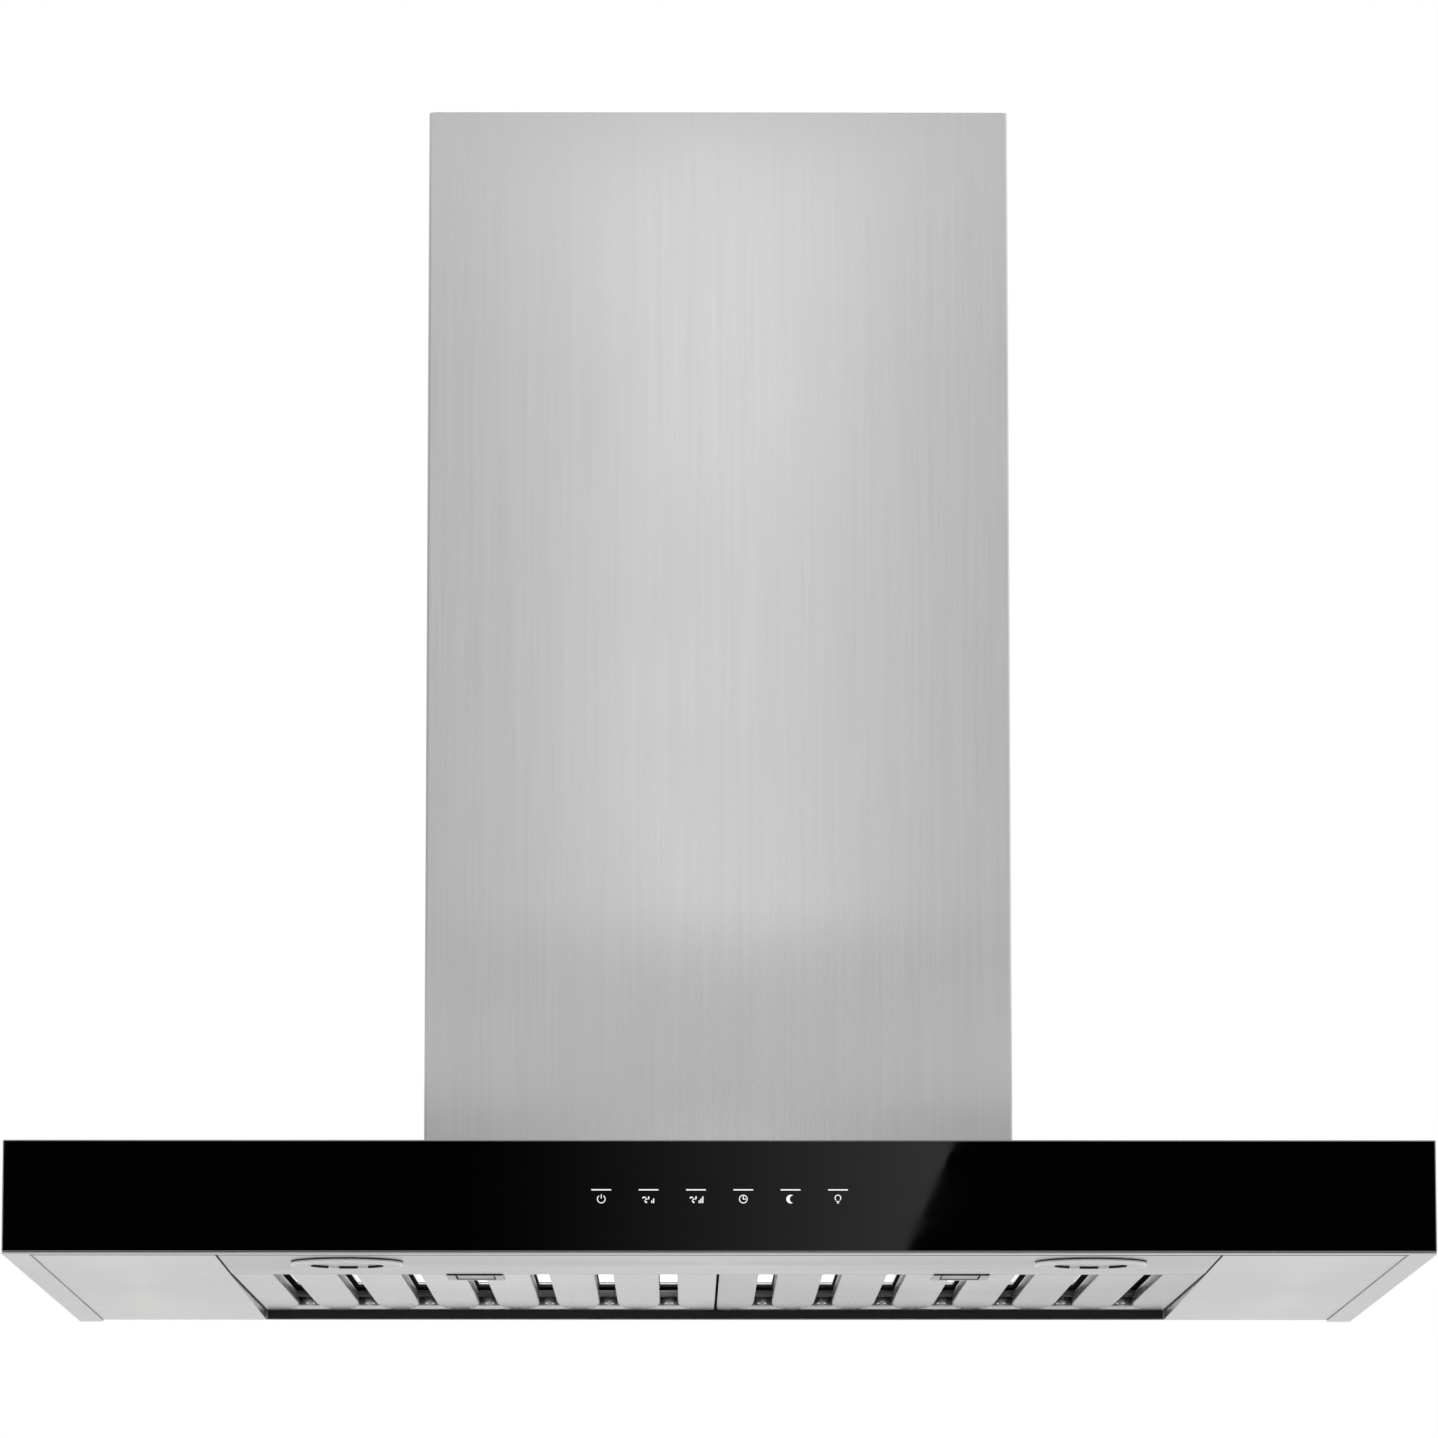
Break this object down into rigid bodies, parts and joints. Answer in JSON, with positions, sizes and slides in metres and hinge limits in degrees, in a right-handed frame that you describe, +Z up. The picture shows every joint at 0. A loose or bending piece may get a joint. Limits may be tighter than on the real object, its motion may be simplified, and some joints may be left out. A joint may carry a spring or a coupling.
{
  "type": "island range hood",
  "caption": "Island range hood: a black glass fronted steel canopy with baffle filters and lamps underneath, hung from the ceiling by a telescopic frame inside a rectangular chimney.",
  "frame": {"origin": "centre of the ceiling plane that the ceiling plate is screwed to", "axes": "+Z up, +X to the right seen from the front, the glass front faces -Y"},
  "size_m": [0.9, 0.65, 0.7759],
  "materials": {
    "brushed_steel": "satin",
    "polished_steel": "polished",
    "zinc_steel": "satin",
    "damper_sheet": "satin",
    "chrome_trim": "polished",
    "black_glass": "gloss",
    "lamp_glass": "satin",
    "motor_body": "matte",
    "black_rail": "satin",
    "black_plastic": "matte",
    "circuit_board": "satin",
    "lead_sleeve": "matte",
    "spring_wire": "polished"
  },
  "bodies": {
    "ceiling_frame": {"ceiling_plate": "zinc_steel", "upper_post_front_left": "zinc_steel", "upper_post_front_right": "zinc_steel", "upper_post_rear_left": "zinc_steel", "upper_post_rear_right": "zinc_steel", "upper_cover_front": "brushed_steel", "upper_cover_rear": "brushed_steel"},
    "hood": {"canopy_shell": "brushed_steel", "front_glass": "black_glass", "side_panel_left": "brushed_steel", "side_panel_right": "brushed_steel", "light_panel": "brushed_steel", "rear_trim": "black_rail", "top_frame": "zinc_steel", "lower_post_front_left": "zinc_steel", "lower_post_front_right": "zinc_steel", "lower_post_rear_left": "zinc_steel", "lower_post_rear_right": "zinc_steel", "lower_cover_front": "brushed_steel", "lower_cover_rear": "brushed_steel", "blower_wrap": "zinc_steel", "blower_side_left": "zinc_steel", "blower_side_right": "zinc_steel", "blower_rail_front": "zinc_steel", "blower_rail_rear": "zinc_steel", "motor": "motor_body", "motor_bracket": "zinc_steel", "capacitor": "black_plastic", "outlet_collar": "zinc_steel", "damper_rod": "chrome_trim", "lamp_bezel_left": "chrome_trim", "lamp_bezel_right": "chrome_trim", "lamp_lens_left": "lamp_glass", "lamp_lens_right": "lamp_glass", "lamp_can_left": "zinc_steel", "lamp_can_right": "zinc_steel", "touch_board": "circuit_board", "control_box": "zinc_steel", "control_box_lid": "zinc_steel", "terminal_box": "black_plastic", "lamp_lead_left": "lead_sleeve", "lamp_lead_right": "lead_sleeve", "touch_lead": "lead_sleeve", "motor_lead": "lead_sleeve"},
    "filter_left": {"filter_face_left": "polished_steel", "filter_baffle_left": "polished_steel", "filter_frame_left": "polished_steel", "latch_housing_left": "zinc_steel", "latch_spring_left": "spring_wire"},
    "filter_right": {"filter_face_right": "polished_steel", "filter_baffle_right": "polished_steel", "filter_frame_right": "polished_steel", "latch_housing_right": "zinc_steel", "latch_spring_right": "spring_wire"},
    "latch_left": {"latch_slider_left": "polished_steel"},
    "latch_right": {"latch_slider_right": "polished_steel"},
    "impeller": {"impeller": "motor_body", "motor_shaft": "chrome_trim"},
    "damper_front": {"damper_flap_front": "damper_sheet"},
    "damper_rear": {"damper_flap_rear": "damper_sheet"}
  },
  "joints": [
    {"name": "height_slide", "type": "slide", "parent": "ceiling_frame", "child": "hood", "axis": [0, 0, -1], "range_m": [0, 0.3]},
    {"name": "filter_hinge_left", "type": "hinge", "parent": "hood", "child": "filter_left", "pos_m": [-0.15865, 0.309, -0.767], "axis": [1, 0, 0], "range_deg": [0, 70]},
    {"name": "filter_hinge_right", "type": "hinge", "parent": "hood", "child": "filter_right", "pos_m": [0.15865, 0.309, -0.767], "axis": [1, 0, 0], "range_deg": [0, 70]},
    {"name": "latch_slide_left", "type": "slide", "parent": "filter_left", "child": "latch_left", "axis": [0, 0.9999, 0.013], "range_m": [0, 0.006], "stiffness_N_per_m": 300, "springref_m": -0.003, "deforming": ["latch_spring_left"]},
    {"name": "latch_slide_right", "type": "slide", "parent": "filter_right", "child": "latch_right", "axis": [0, 0.9999, 0.013], "range_m": [0, 0.006], "stiffness_N_per_m": 300, "springref_m": -0.003, "deforming": ["latch_spring_right"]},
    {"name": "impeller_spin", "type": "hinge", "parent": "hood", "child": "impeller", "pos_m": [0, -0.046, -0.576], "axis": [1, 0, 0], "continuous": true},
    {"name": "damper_hinge_front", "type": "hinge", "parent": "hood", "child": "damper_front", "pos_m": [0, -0.0032, -0.4377], "axis": [-1, 0, 0], "range_deg": [0, 78]},
    {"name": "damper_hinge_rear", "type": "hinge", "parent": "hood", "child": "damper_rear", "pos_m": [0, 0.0032, -0.4377], "axis": [1, 0, 0], "range_deg": [0, 78]}
  ]
}
